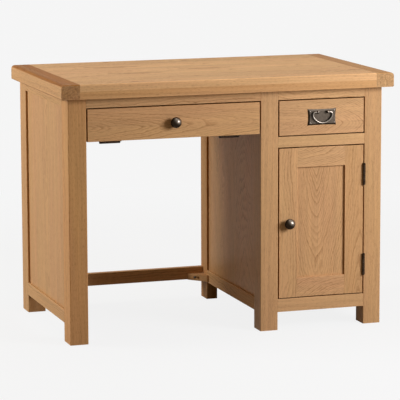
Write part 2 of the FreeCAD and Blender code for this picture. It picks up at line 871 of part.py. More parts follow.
def cupboard_floor():
    """Floor on the rails, notched round the four posts, with its front edge stopping the door."""
    front = door_y[1] + door_stop_gap
    back = back_panel_y[0] - floor_fit
    z = (bottom_rail_z[1], bottom_rail_z[1] + floor_thickness)
    sides = (inner_panel_x[1] + floor_fit, right_panel_x[0] - floor_fit)
    board = box(sides, (front, back), z)
    notches = []
    for x in (front_left_x, front_right_x):
        notches.append(box(grow(x, floor_fit), grow(pedestal_front_y, floor_fit), grow(z, floor_fit)))
    for x in (rear_left_x, rear_right_x):
        notches.append(box(grow(x, floor_fit), grow(pedestal_rear_y, floor_fit), grow(z, floor_fit)))
    return board.cut(notches)


def left_end():
    """Framed left end and the rails and stretcher that tie it to the pedestal."""
    bottom, top = side_rails(left_side_y, left_rail_x)
    panel, groove = panel_in_frame(left_panel_x, left_side_y, panel_opening_z, 0)
    front_rail = cross_rail(kneehole_x, front_rail_y, top_rail_z, tenon_length)
    rear_rail = cross_rail(kneehole_x, rear_rail_y, kneehole_rear_rail_z, rear_tenon_length)
    stretcher = cross_rail(kneehole_x, stretcher_y, stretcher_z, rear_tenon_length)
    side_cuts = [bottom.mortises(), top.mortises(), groove]
    pieces = {
        "left_front_post": post(left_post_x, left_front_y, side_cuts + [front_rail.mortises()]),
        "left_rear_post": post(
            left_post_x, left_rear_y, side_cuts + [rear_rail.mortises(), stretcher.mortises()]
        ),
        "left_bottom_rail": bottom.solid().cut(groove),
        "left_top_rail": top.solid().cut(groove),
        "left_end_panel": panel,
        "kneehole_front_rail": front_rail.solid(),
        "kneehole_rear_rail": rear_rail.solid(),
        "rear_stretcher": stretcher.solid(),
        "stretcher_blocks": Part.makeCompound(
            [stretcher_block(kneehole_x[0], -1), stretcher_block(kneehole_x[1], 1)]
        ),
    }
    front_cuts = [front_rail.mortises()]
    rear_cuts = [rear_rail.mortises(), stretcher.mortises()]
    return pieces, front_cuts, rear_cuts


def pedestal(kneehole_front_cuts, kneehole_rear_cuts):
    """Posts, rails, panels and floor of the pedestal."""
    inner_bottom, inner_top = side_rails(pedestal_side_y, inner_rail_x)
    right_bottom, right_top = side_rails(pedestal_side_y, right_rail_x)
    front_top = cross_rail(front_opening_x, front_rail_y, top_rail_z, tenon_length)
    front_middle = cross_rail(front_opening_x, ledge_rail_y, middle_rail_z, tenon_length)
    front_bottom = cross_rail(front_opening_x, ledge_rail_y, bottom_rail_z, tenon_length)
    rear_bottom = Rail(
        True,
        rear_opening_x,
        rear_rail_y,
        bottom_rail_z,
        rear_tenon_length,
        tenon_under_groove(bottom_rail_z, tenon_shoulder),
    )
    rear_top = Rail(
        True,
        rear_opening_x,
        rear_rail_y,
        top_rail_z,
        rear_tenon_length,
        tenon_over_groove(top_rail_z, tenon_shoulder),
    )
    inner_panel, inner_groove = panel_in_frame(inner_panel_x, pedestal_side_y, panel_opening_z, 0)
    right_panel, right_groove = panel_in_frame(right_panel_x, pedestal_side_y, panel_opening_z, 0)
    back_panel, back_groove = panel_in_frame(rear_opening_x, back_panel_y, panel_opening_z, 1)
    inner_cuts = [inner_bottom.mortises(), inner_top.mortises(), inner_groove]
    right_cuts = [right_bottom.mortises(), right_top.mortises(), right_groove]
    front_cuts = [front_top.mortises(), front_middle.mortises(), front_bottom.mortises()]
    rear_cuts = [rear_bottom.mortises(), rear_top.mortises(), back_groove]
    return {
        "pedestal_front_left_post": post(
            front_left_x, pedestal_front_y, inner_cuts + front_cuts + kneehole_front_cuts
        ),
        "pedestal_front_right_post": post(
            front_right_x, pedestal_front_y, right_cuts + front_cuts + door_hinge_recesses(1)
        ),
        "pedestal_rear_left_post": post(
            rear_left_x, pedestal_rear_y, inner_cuts + rear_cuts + kneehole_rear_cuts
        ),
        "pedestal_rear_right_post": post(rear_right_x, pedestal_rear_y, right_cuts + rear_cuts),
        "pedestal_left_panel": inner_panel,
        "pedestal_right_panel": right_panel,
        "pedestal_left_bottom_rail": inner_bottom.solid().cut(inner_groove),
        "pedestal_left_top_rail": inner_top.solid().cut(inner_groove),
        "pedestal_right_bottom_rail": right_bottom.solid().cut(right_groove),
        "pedestal_right_top_rail": right_top.solid().cut(right_groove),
        "pedestal_front_top_rail": front_top.solid(),
        "pedestal_front_middle_rail": front_middle.solid(),
        "pedestal_front_bottom_rail": front_bottom.solid(),
        "pedestal_rear_top_rail": rear_top.solid().cut(back_groove),
        "pedestal_rear_bottom_rail": rear_bottom.solid().cut(back_groove),
        "pedestal_back_panel": back_panel,
        "cupboard_floor": cupboard_floor(),
        "drawer_runners": Part.makeCompound(
            [
                drawer_runner(inner_panel_x[1], drawer_left_x[0], 1),
                drawer_runner(right_panel_x[0], drawer_right_x[1], -1),
            ]
        ),
    }


def door():
    """Framed door with its knob and hinges."""
    bottom = Rail(
        True,
        door_inner_x,
        door_y,
        door_bottom_rail_z,
        tenon_length,
        tenon_under_groove(door_bottom_rail_z, door_tenon_inset),
    )
    top = Rail(
        True,
        door_inner_x,
        door_y,
        door_top_rail_z,
        tenon_length,
        tenon_over_groove(door_top_rail_z, door_tenon_inset),
    )
    panel, groove = panel_in_frame(door_inner_x, door_panel_y, door_inner_z, 1)
    stile_cuts = [bottom.mortises(), top.mortises(), groove]
    lock_stile = eased(box(lock_stile_x, door_y, door_z), Z_AXIS, rail_arris)
    hinge_stile = eased(box(hinge_stile_x, door_y, door_z), Z_AXIS, rail_arris)
    inner_w = door_hinge_plate_w
    frame_w = (-door_hinge_plate_w[1], -door_hinge_plate_w[0])
    return {
        "door_lock_stile": lock_stile.cut(stile_cuts),
        "door_hinge_stile": hinge_stile.cut(stile_cuts + door_hinge_recesses(-1)),
        "door_bottom_rail": bottom.solid().cut(groove),
        "door_top_rail": top.solid().cut(groove),
        "door_panel": panel,
        "door_knob": knob(door_x[0] + door_knob_inset, (door_z[0] + door_z[1]) / 2),
        "door_hinge_frame_leaves": at_door_hinges(door_hinge_leaf(outer_knuckles(), frame_w)),
        "door_hinge_door_leaves": at_door_hinges(door_hinge_leaf(inner_knuckles(), inner_w)),
        "door_hinge_pins": at_door_hinges(hinge_pin(door_hinge_length, door_hinge_pin_radius)),
    }


def keyboard_tray():
    """Tray with its runners, and the drop front hinged to its board."""
    left_x = after(tray_x[0], tray_side_thickness)
    right_x = before(tray_x[1], tray_side_thickness)
    back_y = before(tray_y[1], tray_side_thickness)
    front_reach = drop_hinge_axis_y - drop_front_y[0] - drop_hinge_leaf_setback
    tray_u = after(drop_hinge_barrel_radius, drop_hinge_leaf_width)
    front_u = (-front_reach, -drop_hinge_barrel_radius)
    first = (0.0, runner_channel_depth)
    second = after(runner_sheet + runner_gap, runner_channel_depth)
    third = (runner_width, runner_width - runner_channel_depth)
    drop_front = box(drop_front_x, drop_front_y, drop_front_z)
    return {
        "runner_battens": runner_battens(),
        "runner_outers": runner_pair(first, 0),
        "runner_middles": runner_pair(second, 1),
        "runner_inners": runner_pair(third, 2),
        "tray_board": box(tray_x, tray_y, tray_board_z),
        "tray_left_side": box(left_x, tray_y, tray_side_z),
        "tray_right_side": box(right_x, tray_y, tray_side_z),
        "tray_back": box((left_x[1], right_x[0]), back_y, tray_side_z),
        "drop_front": eased_front(drop_front, front_arris),
        "drop_front_knob": knob(
            (drop_front_x[0] + drop_front_x[1]) / 2, (drop_front_z[0] + drop_front_z[1]) / 2
        ),
        "drop_hinge_tray_leaves": at_drop_hinges(drop_hinge_leaf(outer_knuckles(), tray_u)),
        "drop_hinge_front_leaves": at_drop_hinges(drop_hinge_leaf(inner_knuckles(), front_u)),
        "drop_hinge_pins": at_drop_hinges(hinge_pin(drop_hinge_length, drop_hinge_pin_radius)),
    }


def drawer():
    """Drawer box with its plate handle."""
    return {
        "drawer_front": drawer_front(),
        "drawer_left_side": drawer_side(drawer_left_x),
        "drawer_right_side": drawer_side(drawer_right_x),
        "drawer_back": drawer_back_board(0),
        "drawer_bottom": drawer_bottom(),
        "handle_plate": handle_plate(),
        "handle_posts": Part.makeCompound([handle_post(-1), handle_post(1)]),
        "handle_bail": handle_bail(),
    }


def desk():
    """Every piece of the desk by name."""
    pieces = {
        "top_panel": top_panel(),
        "top_end_left": top_end(-1),
        "top_end_right": top_end(1),
    }
    end_pieces, front_cuts, rear_cuts = left_end()
    pieces.update(end_pieces)
    pieces.update(pedestal(front_cuts, rear_cuts))
    pieces.update(door())
    pieces.update(keyboard_tray())
    pieces.update(drawer())
    return pieces


def main():
    """Write one file for each piece."""
    os.makedirs("parts", exist_ok=True)
    for name, shape in desk().items():
        shape.exportStep(os.path.join("parts", name + ".step"))


main()
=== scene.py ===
"""Looks of a single-pedestal kneehole desk.

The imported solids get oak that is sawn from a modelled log, dark pewter, bronzed hinges and zinc
runners. The small fasteners are added, and the desk stands in a pale studio.
"""

import json
import math
import zlib

import bpy
import numpy as np
from mathutils import Matrix, Vector


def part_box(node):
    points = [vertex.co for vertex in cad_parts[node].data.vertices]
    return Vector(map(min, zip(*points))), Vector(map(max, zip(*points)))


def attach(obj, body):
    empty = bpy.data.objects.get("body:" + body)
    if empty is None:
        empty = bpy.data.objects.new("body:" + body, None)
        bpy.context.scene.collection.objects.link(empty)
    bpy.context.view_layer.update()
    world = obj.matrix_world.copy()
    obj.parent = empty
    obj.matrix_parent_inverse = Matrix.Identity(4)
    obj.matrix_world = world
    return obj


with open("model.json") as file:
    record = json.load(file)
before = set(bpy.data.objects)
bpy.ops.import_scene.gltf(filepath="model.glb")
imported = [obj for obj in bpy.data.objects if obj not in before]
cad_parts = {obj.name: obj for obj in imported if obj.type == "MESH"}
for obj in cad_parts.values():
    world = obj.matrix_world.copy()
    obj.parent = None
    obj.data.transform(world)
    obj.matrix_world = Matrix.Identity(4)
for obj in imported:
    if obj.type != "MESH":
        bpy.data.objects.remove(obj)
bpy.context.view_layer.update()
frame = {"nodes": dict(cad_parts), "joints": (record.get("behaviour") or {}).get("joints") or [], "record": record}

bl_info = {
    "name": "Kneehole desk looks",
    "version": (1, 0, 0),
    "blender": (4, 5, 0),
    "location": "3D View > Sidebar > Desk",
    "description": "Oak, metal fittings, small fasteners and a pale studio for a kneehole desk",
    "category": "Object",
}

# The finish of each node.
FINISH_OF = {part["node"]: part["material_slot"] for part in frame["record"]["subparts"]}

# Boards whose grain doesn't run along their longest side: 0 is X, 1 is Y, 2 is Z.
GRAIN = {
    "runner_battens": 1,
    "drawer_runners": 1,
    "stretcher_blocks": 0,
    "cupboard_floor": 0,
    "drawer_bottom": 0,
}

# How the boards that show were sawn: how deep the pith lay behind the face and how far to the side,
# both in metres, how much the pith leans from the face along the board, and how dark its stain is.
SAWN = {
    "door_panel": (0.052, -0.014, -0.12, 0.10),
    "drawer_front": (0.046, -0.024, 0.22, 0.00),
    "drop_front": (0.052, -0.012, 0.07, 0.00),
    "door_top_rail": (0.050, 0.034, 0.18, 0.00),
    "door_bottom_rail": (0.045, -0.030, -0.22, 0.05),
    "door_hinge_stile": (0.060, 0.016, 0.05, 0.22),
    "door_lock_stile": (0.085, -0.060, 0.01, 0.10),
    "pedestal_left_panel": (0.060, 0.010, -0.09, 0.12),
    "top_panel": (0.055, 0.000, 0.03, 0.00),
    # The strong stains of the top's two ends are partly painted shade on their tops, darkest on the left end.
    "top_end_left": (0.080, 0.050, 0.02, 1.00),
    "top_end_right": (0.075, -0.045, 0.02, 0.60),
    "left_front_post": (0.110, 0.070, 0.02, 0.20),
    "pedestal_front_right_post": (0.100, 0.090, -0.02, 0.12),
    "pedestal_front_bottom_rail": (0.060, 0.030, 0.05, 0.00),
}

# The same for the other boards, as ranges to draw from, and the length of log that they come from.
COMMON_DEPTH, COMMON_SHIFT = (0.07, 0.12), (0.05, 0.10)
COMMON_LEAN, COMMON_STAIN = (-0.03, 0.03), (0.0, 0.12)
LOG_LENGTH = 40.0

# Faces that get more or less stain than the rest of their board, as the axis that they lie across
# and their side of the board, where 0 is both: the share of the stain. This is painted light and
# shade: the edges of the door's stiles, the drawer front and the drop front are painted dark as the
# shade in the gaps and the panel's recess around them, the steps of the rear posts are painted dark
# as the shade in the panels' recesses, and some sides of the top's ends and of the left front post
# are painted paler, as lit sides.
PAINTED_FACE_SHADE = {
    "top_end_left": {(0, 0): 0.0, (1, 0): 0.45},
    "top_end_right": {(0, 0): 0.0, (1, 0): 0.1},
    "left_front_post": {(0, 0): 0.0, (1, -1): 0.12},
    "left_rear_post": {(1, -1): 0.5},
    "pedestal_rear_left_post": {(0, -1): 0.45, (1, -1): 0.9},
    "drop_front": {(0, 0): 1.0, (2, 0): 1.0},
    "drawer_front": {(0, 0): 1.0, (2, 0): 1.0},
    "door_lock_stile": {(0, 0): 1.0, (2, 0): 1.0},
    "door_hinge_stile": {(0, 0): 1.0, (2, 0): 1.0},
}

# Boards with a lipping along their front edge: its depth and the height of its darker lower
# strip, in metres. The lipping is painted paler, a painted sheen on the front edge.
LIPPING = {"top_panel": (0.006, 0.023)}

# Boards painted redder and fuller than the rest, as painted warm shade, as a share of the full shift.
WARM_SHADE = {"left_front_post": 0.9, "drop_front": 0.35}

# Boards that were rubbed smoother than the rest: how much less rough their lacquer is.
RUBBED_SMOOTH = {
    "pedestal_left_panel": 0.14,
    "pedestal_front_left_post": 0.12,
    "left_end_panel": 0.06,
}

# Width of the staves that the broad boards are glued from, in metres.
STAVES = {
    "top_panel": 0.112,
    "left_end_panel": 0.150,
    "pedestal_left_panel": 0.160,
    "pedestal_right_panel": 0.150,
    "pedestal_back_panel": 0.120,
    "tray_board": 0.110,
    "cupboard_floor": 0.120,
}

# How far a stave lies from the next in its log, across and along, in metres, and in tone.
STAVE_ACROSS, STAVE_ALONG, STAVE_TONE = 0.06, 5.0, 0.09

# Half the width of the line where the lipping meets the board, and how far along the log the
# lipping and its lower strip were cut, in metres.
LIPPING_LINE, LIPPING_ALONG, STRIP_ALONG = 0.0005, 4.1, 7.3

# Noises in the oak: swings per metre along the grain, across the board and into it, and detail.
WANDER = ((3.2, 9.0, 9.0), 5.0)
DRIFT = ((1.3, 9.0, 9.0), 2.0)
BAND = ((2.2, 55.0, 55.0), 2.0)
STREAK = ((5.0, 190.0, 190.0), 3.0)
PORE_DETAIL = 1.0

# How rough the finer swings of every noise are.
NOISE_ROUGHNESS = 0.55

# Growth rings: how far they wander sideways and inwards, in metres, how pointed and how broad their
# arches are, and how far their edges fray and their widths vary, in rings.
RING_SIDEWAYS, RING_INWARDS = 0.030, 0.026
ARCH_POWER, ARCH_WIDTH = 0.75, 0.42
RING_FRAY, RING_VARIES = 0.15, 2.0

# How porous the wood is through one ring, from its start to its end, how much less porous a year
# can be, and how much less a patch can be, with the range of the drift that such patches span.
RING_PROFILE = [(0.0, 0.55), (0.07, 1.0), (0.22, 0.72), (0.55, 0.16), (0.93, 0.0), (1.0, 0.55)]
YEAR_SPREAD, PATCH_SPREAD, PATCH_RANGE = 0.85, 0.4, (0.25, 0.75)

# Where a pore starts and is full in its noise, and how much weaker pores are in dense wood.
PORE_RANGE, PORE_SPREAD = (0.55, 0.63), 0.75

# How far a face turns towards an axis where it starts to lie across it, and where it does so fully.
TURNED = (0.75, 0.98)

# How near an arris the paler band starts and is full, and how ragged its border is, in metres: a
# painted highlight of the rounded arrises that also reads as wear.
ARRIS_WEAR_HIGHLIGHT_RANGE, ARRIS_WEAR_HIGHLIGHT_RAGGED = (0.0035, 0.0006), 0.004

# Tone and hue: how far the drift, the bands and the streaks swing them, how much stronger rings and
# streaks are on sawn ends, how uneven the stain is, and the full shift of a board with painted warm shade.
DRIFT_TONE, DRIFT_HUE, BAND_TONE, STREAK_TONE = 0.24, 0.022, 0.30, 0.36
END_RINGS, END_STREAKS = 0.6, 1.1
STAIN_UNEVEN = 1.4
WARM_SHADE_HUE, WARM_SHADE_SATURATION = 0.006, 0.08

# Lacquer: the relief of streaks and porous wood beside that of pores, the strength and depth of the
# relief, the roughness that pores and streaks add, and how much it reflects.
STREAK_RELIEF, POROUS_RELIEF = 0.35, 0.25
WOOD_RELIEF = (0.35, 0.00025)
PORE_ROUGHNESS, STREAK_ROUGHNESS = 0.2, 0.12
LACQUER_SPECULAR = 0.14

# Metals: roughness, blotches of the skin per metre, and the way that faces painted bright face: a
# painted highlight, with painted shade on the faces turned away.
METALS = {
    "pewter": (0.36, 160.0, (0.49, -0.58, 0.65)),
    "worn_pewter": (0.36, 160.0, (0.15, -0.92, 0.36)),
    "hinge_bronze": (0.42, 120.0, None),
    "runner_zinc": (0.36, 45.0, None),
}
METAL_RELIEF = (0.2, 0.0002)

# Lamps: place, aim and width, in metres, and colour. Their powers are settings of the stage.
LAMPS = {
    "key": ((1.60, -1.80, 1.22), (0.12, -0.27, 0.50), 0.9, (0.99, 1.0, 1.06)),
    "overhead": ((0.10, 0.20, 3.40), (0.0, 0.0, 0.75), 2.0, (0.99, 1.0, 1.03)),
    "side": ((-3.10, 0.90, 1.50), (-0.40, 0.05, 0.45), 1.2, (1.0, 0.97, 0.93)),
}

# Sockets of a Mix node that blends colours: its share, its two colours, and its result.
MIX_SHARE, MIX_FIRST, MIX_SECOND, MIX_RESULT = 0, 6, 7, 2

# How the nodes are laid out: how many stand in a column, and the steps between them.
NODE_ROWS, NODE_STEP_X, NODE_STEP_Y = 9, 190, -230


class Signal:
    """One socket of a node tree. Arithmetic on it adds Math nodes, and node() adds other nodes."""

    def __init__(self, tree, socket=None):
        self.tree = tree
        self.socket = socket

    def node(self, kind, settings=None, sockets=None, output=0):
        """Adds a node, sets its settings and its sockets' values or links, and gives one output."""
        made = self.tree.nodes.new(kind)
        place = len(self.tree.nodes)
        column, row = divmod(place, NODE_ROWS)
        made.location = (NODE_STEP_X * column, NODE_STEP_Y * row)
        for name, value in (settings or {}).items():
            if name == "stops":
                ramp = made.color_ramp.elements
                ramp[0].position, ramp[1].position = value[0][0], value[-1][0]
                for position, _ in value[1:-1]:
                    ramp.new(position)
                for element, (_, level) in zip(ramp, value):
                    element.color = (level, level, level, 1.0)
            else:
                setattr(made, name, value)
        for name, value in (sockets or {}).items():
            if isinstance(value, Signal):
                self.tree.links.new(value.socket, made.inputs[name])
            else:
                made.inputs[name].default_value = value
        return Signal(self.tree, made.outputs[output] if made.outputs else None)

    def other(self, output):
        """Another output of the node that this one comes from."""
        return Signal(self.tree, self.socket.node.outputs[output])

    def math(self, operation, *values):
        """A Math node of these values, or of this signal alone."""
        inputs = dict(enumerate(values or (self,)))
        return self.node("ShaderNodeMath", {"operation": operation}, inputs)

    def __add__(self, value):
        return self.math("ADD", self, value)

    def __sub__(self, value):
        return self.math("SUBTRACT", self, value)

    def __rsub__(self, value):
        return self.math("SUBTRACT", value, self)

    def __mul__(self, value):
        return self.math("MULTIPLY", self, value)

    def __truediv__(self, value):
        return self.math("DIVIDE", self, value)

    def __rtruediv__(self, value):
        return self.math("DIVIDE", value, self)

    def __pow__(self, value):
        return self.math("POWER", self, value)

    def __abs__(self):
        return self.math("ABSOLUTE", self)

    __radd__ = __add__
    __rmul__ = __mul__


def smooth(value, start, end):
    """0 before start and 1 after end, with an easy slope between, also where end comes first."""
    span = {"Value": value, "From Min": start, "From Max": end}
    return value.node("ShaderNodeMapRange", {"interpolation_type": "SMOOTHSTEP"}, span)


def swing(value, size):
    """Turns 0 to 1 into half the size down to half the size up."""
    return (value - 0.5) * size


def spread(value, size):
    """Turns 0 to 1 into 1 - size to 1."""
    return value * size + (1.0 - size)


def median(first, second, third):
    """The middle one of three values."""
    lesser = first.math("MINIMUM", first, second)
    greater = first.math("MAXIMUM", first, second)
    return lesser.math("MAXIMUM", lesser, greater.math("MINIMUM", greater, third))


def lot(number, output):
    """A random value or colour for each whole number."""
    settings = {"noise_dimensions": "1D"}
    return number.node("ShaderNodeTexWhiteNoise", settings, {"W": number}, output)


def blend(share, first, second, kind="MIX"):
    """Goes from the first colour to the second, or to their product, as the share goes to 1."""
    settings = {"data_type": "RGBA", "blend_type": kind}
    sockets = {MIX_SHARE: share, MIX_FIRST: first, MIX_SECOND: second}
    return share.node("ShaderNodeMix", settings, sockets, MIX_RESULT)


def noise(vector, scale, detail, output=0):
    """Noise with its own number of swings per metre along each axis of the vector."""
    mapped = vector.node("ShaderNodeMapping", sockets={"Vector": vector, "Scale": scale})
    values = {"Vector": mapped, "Scale": 1.0, "Detail": detail, "Roughness": NOISE_ROUGHNESS}
    return vector.node("ShaderNodeTexNoise", sockets=values, output=output)


def channels(colour):
    """The three channels of a colour as values."""
    first = colour.node("ShaderNodeSeparateColor", sockets={0: colour})
    return first, first.other(1), first.other(2)


def axes(vector):
    """The three parts of a vector as values."""
    first = vector.node("ShaderNodeSeparateXYZ", sockets={0: vector})
    return first, first.other(1), first.other(2)


def vector_of(x, y, z):
    """Vector of three values, of which at least the first is a signal."""
    return x.node("ShaderNodeCombineXYZ", sockets={0: x, 1: y, 2: z})


def length(vector):
    """Length of a vector."""
    return vector.node("ShaderNodeVectorMath", {"operation": "LENGTH"}, {0: vector}, "Value")


def relief(height, strength, distance):
    """Normal of a surface with a relief, whose full height is a distance in metres."""
    sockets = {"Strength": strength, "Distance": distance, "Height": height}
    return height.node("ShaderNodeBump", sockets=sockets, output="Normal")


def new_material(name):
    """Empty material and the start of its node tree."""
    material = bpy.data.materials.new(name)
    material.use_nodes = True
    material.node_tree.nodes.clear()
    return material, Signal(material.node_tree)


def surface(start, shader):
    """Leads a shader to the material's output."""
    start.node("ShaderNodeOutputMaterial", sockets={"Surface": shader})


def rgba(colour):
    """Colour with full cover, for a socket."""
    return (*colour, 1.0)


class Board:
    """How one piece lies in its log, which its name draws by lot where no table says it."""

    def __init__(self, piece):
        low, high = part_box(piece)
        size = high - low
        luck = np.random.RandomState(zlib.crc32(piece.encode()))
        self.centre = (low + high) / 2
        self.half = size / 2
        self.grain = GRAIN.get(piece, max(range(3), key=lambda axis: size[axis]))
        across = (axis for axis in range(3) if axis != self.grain)
        self.face, self.width = sorted(across, key=lambda axis: size[axis])
        side = luck.choice((-1.0, 1.0))
        common = (luck.uniform(*COMMON_DEPTH), side * luck.uniform(*COMMON_SHIFT),
                  luck.uniform(*COMMON_LEAN), luck.uniform(*COMMON_STAIN))
        self.depth, self.shift, self.lean, self.stain_and_shade = SAWN.get(piece, common)
        self.stave = STAVES.get(piece, 0.0)
        self.lipping = LIPPING.get(piece)
        self.phase = tuple(luck.uniform(0.0, LOG_LENGTH, 3))


def glued(board, along, across):
    """Place in the log, along and across, and tone of a board that is glued from staves."""
    stave = (across / board.stave + board.phase[0]).math("FLOOR")
    aside, further, tone = channels(lot(stave, "Color"))
    across = across - (stave - (board.phase[0] - 0.5)) * board.stave + swing(aside, STAVE_ACROSS)
    return along + further * STAVE_ALONG, across, swing(tone, STAVE_TONE) + 1.0


def lipped(board, local):
    """Two values that are 1 on the lipping of a board's front edge and on its lower strip."""
    depth, height = board.lipping
    behind, strip = depth - board.half[1], height - board.half[2]
    lipping = smooth(local[1], behind + LIPPING_LINE, behind - LIPPING_LINE)
    return lipping, lipping * smooth(local[2], strip + LIPPING_LINE, strip - LIPPING_LINE)


def rings(board, ring_width, along, across, depth, wander, streak):
    """How porous the wood is at a place, from its growth ring and that ring's year."""
    sideways = abs(across - board.shift + swing(wander[0], RING_SIDEWAYS)) ** ARCH_POWER
    inwards = along * board.lean + depth + swing(wander[1], RING_INWARDS) + board.depth
    radius = length(vector_of(sideways * ARCH_WIDTH, inwards, 0.0))
    count = radius / ring_width + streak * RING_FRAY + wander[2] * RING_VARIES
    ring = count.math("FRACT")
    porous = count.node("ShaderNodeValToRGB", {"stops": RING_PROFILE}, {0: ring})
    return porous * spread(lot(count.math("FLOOR"), "Value"), YEAR_SPREAD)


def oak(piece, look, pale, dark):
    """Oak as a solid texture.

    The distance from a leaning pith line that wanders gently, divided by the ring width, counts the
    growth rings. Each ring starts with a dark porous band and fades to pale late wood, so faces
    near the pith show arches, faces beside it show stripes, and ends show arcs. The sideways part
    of the distance is taken to a power below 1, which makes the arches pointed. Pores are short
    dashes along the grain, thickest in the porous bands. Broad boards repeat this in glued staves,
    each from another log, and the top has a lipping of its own wood.

    A stain multiplies the colour, by the board and on some of its faces, where it paints the shade in
    gaps and recesses and leaves lit sides paler. Bands, fine streaks and a slow drift of tone and hue
    lie over it, ends are darker, arrises are painted a little paler as a highlight that also reads as
    wear, a few boards are painted redder and fuller as warm shade, and a few have a smoother lacquer.
    """
    board = Board(piece)
    material, start = new_material("oak_" + piece)
    place = start.node("ShaderNodeTexCoord", output="Object")
    centred = start.node("ShaderNodeMapping", sockets={"Vector": place, "Location": -board.centre})
    local = axes(centred)
    along, across, depth = local[board.grain], local[board.width], local[board.face]

    tone, stain_and_shade = 1.0, board.stain_and_shade
    if board.stave:
        along, across, tone = glued(board, along, across)
    if board.lipping:
        lipping, strip = lipped(board, local)
        along = along + lipping * LIPPING_ALONG + strip * STRIP_ALONG
        # Painted sheen: the lipping is painted paler; its lower strip is darker.
        tone = lipping * look.lipping + tone
        stain_and_shade = strip * look.strip + stain_and_shade
    phase = board.phase
    grain = vector_of(along + phase[0], across + phase[1], depth + phase[2])

    wander = channels(noise(grain, *WANDER, "Color"))
    drift = channels(noise(grain, *DRIFT, "Color"))
    streak = noise(grain, *STREAK)
    band = noise(grain, *BAND)
    porous = rings(board, look.ring_width, along, across, depth, wander, streak)
    porous = porous * spread(smooth(drift[2], *PATCH_RANGE), PATCH_SPREAD)
    across_pores = 1.0 / look.pore_width
    dashes = noise(grain, (1.0 / look.pore_length, across_pores, across_pores), PORE_DETAIL)
    pores = smooth(dashes, *PORE_RANGE) * spread(porous, PORE_SPREAD)

    facing = axes(start.node("ShaderNodeTexCoord", output="Normal"))
    end_grain = smooth(abs(facing[board.grain]), *TURNED)
    # Painted light and shade: the listed faces take their own share of the stain, dark in gaps and recesses and
    # paler on lit sides.
    for (axis, side), share in PAINTED_FACE_SHADE.get(piece, {}).items():
        turned = facing[axis] * side if side else abs(facing[axis])
        stain_and_shade = smooth(turned, *TURNED) * (share - board.stain_and_shade) + stain_and_shade
    to_arris = median(*(board.half[axis] - abs(local[axis]) for axis in range(3)))
    # Arrises are painted paler: a painted highlight of their rounding that also reads as wear.
    arris_wear_and_highlight = smooth(to_arris + swing(streak, ARRIS_WEAR_HIGHLIGHT_RAGGED), *ARRIS_WEAR_HIGHLIGHT_RANGE)

    ringed = porous * (end_grain * END_RINGS + 1.0) * look.ring_contrast
    wood = blend(ringed, rgba(pale), rgba(dark))
    wood = blend(pores * look.pore_contrast, wood, rgba(look.pores))
    stained_and_shaded = stain_and_shade * (swing(band, STAIN_UNEVEN) + 1.0)
    wood = blend(stained_and_shaded, wood, rgba(look.stain_and_shade), "MULTIPLY")
    streaked = swing(streak, end_grain * END_STREAKS + STREAK_TONE)
    value = swing(drift[0], DRIFT_TONE) + swing(band, BAND_TONE) + streaked + tone
    value = value * (1.0 - end_grain * look.end_grain) + arris_wear_and_highlight * look.arris_wear_and_highlight
    # Painted warm shade: the listed boards turn redder and fuller.
    warm_shade = WARM_SHADE.get(piece, 0.0)
    shade = {
        "Hue": swing(drift[1], DRIFT_HUE) + (0.5 - WARM_SHADE_HUE * warm_shade),
        "Saturation": 1.0 + WARM_SHADE_SATURATION * warm_shade,
        "Value": value,
        "Color": wood,
    }
    wood = start.node("ShaderNodeHueSaturation", sockets=shade)

    height = streak * STREAK_RELIEF - porous * POROUS_RELIEF - pores
    lacquer = look.roughness - RUBBED_SMOOTH.get(piece, 0.0)
    shader = start.node(
        "ShaderNodeBsdfPrincipled",
        sockets={
            "Base Color": wood,
            "Roughness": pores * PORE_ROUGHNESS + swing(streak, STREAK_ROUGHNESS) + lacquer,
            "Specular IOR Level": LACQUER_SPECULAR,
            "Normal": relief(height, *WOOD_RELIEF),
        },
    )
    surface(start, shader)
    return material


def metal(name, dark, bright):
    """Old metal: a mottled dark skin, with painted light where it faces a given way.

    A noise picks the share of the bright colour. Where the metal has a direction, the third power
    of how far the surface turns that way scales it, so that faces turned that way carry a painted
    highlight and faces turned away stay dark as painted shade. The same noise makes the gloss uneven.
    """
    # Two noises: how much finer the second is, the share of the first, where in their sum a bright
    # patch starts and is full, and their details.
    finer, cloudy, patches = 7.0, 0.7, (0.32, 0.72)
    cloud_detail, fine_detail = 4.0, 2.0
    # Painted highlight on the crowns: how far they turn where it starts and is full, and how the patches vary it.
    crown, crown_power, crown_spread, crown_least = (0.05, 0.95), 3.0, 0.5, 0.75
    uneven_gloss = 0.16
    roughness, mottle, facing = METALS[name]
    material, start = new_material(name)
    place = start.node("ShaderNodeTexCoord", output="Object")
    cloud = noise(place, (mottle,) * 3, cloud_detail)
    fine = noise(place, (mottle * finer,) * 3, fine_detail)
    share = smooth(cloud * cloudy + fine * (1.0 - cloudy), *patches)
    # Painted light: faces turned the given way are painted bright, those turned away dark.
    if facing:
        normal = start.node("ShaderNodeTexCoord", output="Normal")
        sockets = {0: normal, 1: facing}
        turned = start.node("ShaderNodeVectorMath", {"operation": "DOT_PRODUCT"}, sockets, "Value")
        share = (share * crown_spread + crown_least) * smooth(turned, *crown) ** crown_power
    shader = start.node(
        "ShaderNodeBsdfPrincipled",
        sockets={
            "Base Color": blend(share, rgba(dark), rgba(bright)),
            "Metallic": 1.0,
            "Roughness": (0.5 - share) * uneven_gloss + roughness,
            "Normal": relief(cloud, *METAL_RELIEF),
        },
    )
    surface(start, shader)
    return material


def dress(nodes, make):
    """Gives each node the material that make returns for its name."""
    if not nodes:
        raise RuntimeError("the packed desk has no node with this finish")
    for name in nodes:
        for slot in frame["nodes"][name].material_slots:
            slot.material = make(name)


def nodes_with(finish):
    """Names of the nodes that the record gives a finish."""
    return [name for name, found in FINISH_OF.items() if found == finish]


